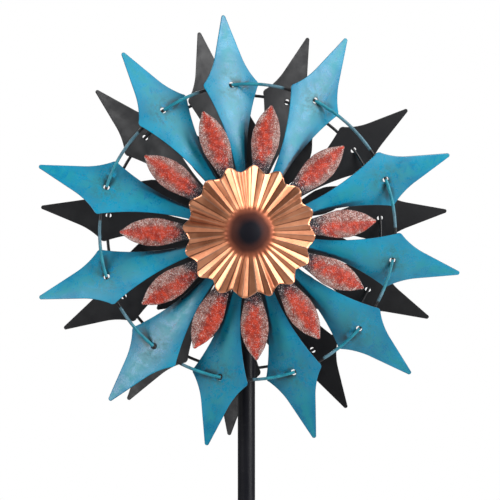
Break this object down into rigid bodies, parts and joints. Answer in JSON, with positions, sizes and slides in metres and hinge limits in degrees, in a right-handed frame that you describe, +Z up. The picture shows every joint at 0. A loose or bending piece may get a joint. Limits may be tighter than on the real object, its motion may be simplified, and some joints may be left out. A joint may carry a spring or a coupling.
{
  "type": "kinetic wind spinner",
  "caption": "Garden wind spinner: two pitched-blade flower rotors, back to back on one axle, with ring rods and pleated caps, on a pole with a ground fork.",
  "frame": {"origin": "on the ground line, under the middle of the pole", "axes": "+Z up the pole, rotor axle along Y, front rotor towards -Y"},
  "size_m": [0.61, 0.26, 1.905],
  "materials": {
    "blade_blue": "satin blue brushed over black, outward face; the back stays black",
    "petal_red": "matt red with white and black speckle",
    "ring_blue": "satin teal",
    "cap_copper": "bright copper colour with a burnished dark dome",
    "plate_black": "satin black",
    "pole_black": "satin black powder coat",
    "plug_black": "moulded",
    "bearing_steel": "ground",
    "hardware_zinc": "zinc plated"
  },
  "bodies": {
    "stand": {"axle": "hardware_zinc", "axle_sleeve": "pole_black", "axle_spacers": "hardware_zinc", "axle_washers": "hardware_zinc", "ground_fork": "pole_black", "ground_socket": "pole_black", "jam_nuts": "hardware_zinc", "joint_screws": "hardware_zinc", "lock_nuts": "hardware_zinc", "pole_cap": "plug_black", "pole_lower": "pole_black", "pole_middle": "pole_black", "pole_upper": "pole_black", "race_spacers": "hardware_zinc"},
    "front_rotor": {"front_bearings": "bearing_steel", "front_blade_01": "blade_blue", "front_blade_02": "blade_blue", "front_blade_03": "blade_blue", "front_blade_04": "blade_blue", "front_blade_05": "blade_blue", "front_blade_06": "blade_blue", "front_blade_07": "blade_blue", "front_blade_08": "blade_blue", "front_blade_09": "blade_blue", "front_blade_10": "blade_blue", "front_blade_11": "blade_blue", "front_blade_plate": "plate_black", "front_cap": "cap_copper", "front_hub": "plate_black", "front_petal_01": "petal_red", "front_petal_02": "petal_red", "front_petal_03": "petal_red", "front_petal_04": "petal_red", "front_petal_05": "petal_red", "front_petal_06": "petal_red", "front_petal_07": "petal_red", "front_petal_08": "petal_red", "front_petal_09": "petal_red", "front_petal_10": "petal_red", "front_petal_11": "petal_red", "front_petal_plate": "plate_black", "front_ring": "ring_blue"},
    "rear_rotor": {"rear_bearings": "bearing_steel", "rear_blade_01": "blade_blue", "rear_blade_02": "blade_blue", "rear_blade_03": "blade_blue", "rear_blade_04": "blade_blue", "rear_blade_05": "blade_blue", "rear_blade_06": "blade_blue", "rear_blade_07": "blade_blue", "rear_blade_08": "blade_blue", "rear_blade_09": "blade_blue", "rear_blade_10": "blade_blue", "rear_blade_11": "blade_blue", "rear_blade_plate": "plate_black", "rear_cap": "cap_copper", "rear_hub": "plate_black", "rear_petal_plate": "plate_black", "rear_petals": "petal_red", "rear_ring": "ring_blue"}
  },
  "joints": [
    {"name": "front_spin", "type": "hinge", "parent": "stand", "child": "front_rotor", "pos_m": [0, -0.09, 1.4], "axis": [0, 1, 0], "continuous": true},
    {"name": "rear_spin", "type": "hinge", "parent": "stand", "child": "rear_rotor", "pos_m": [0, 0.09, 1.4], "axis": [0, 1, 0], "continuous": true}
  ]
}
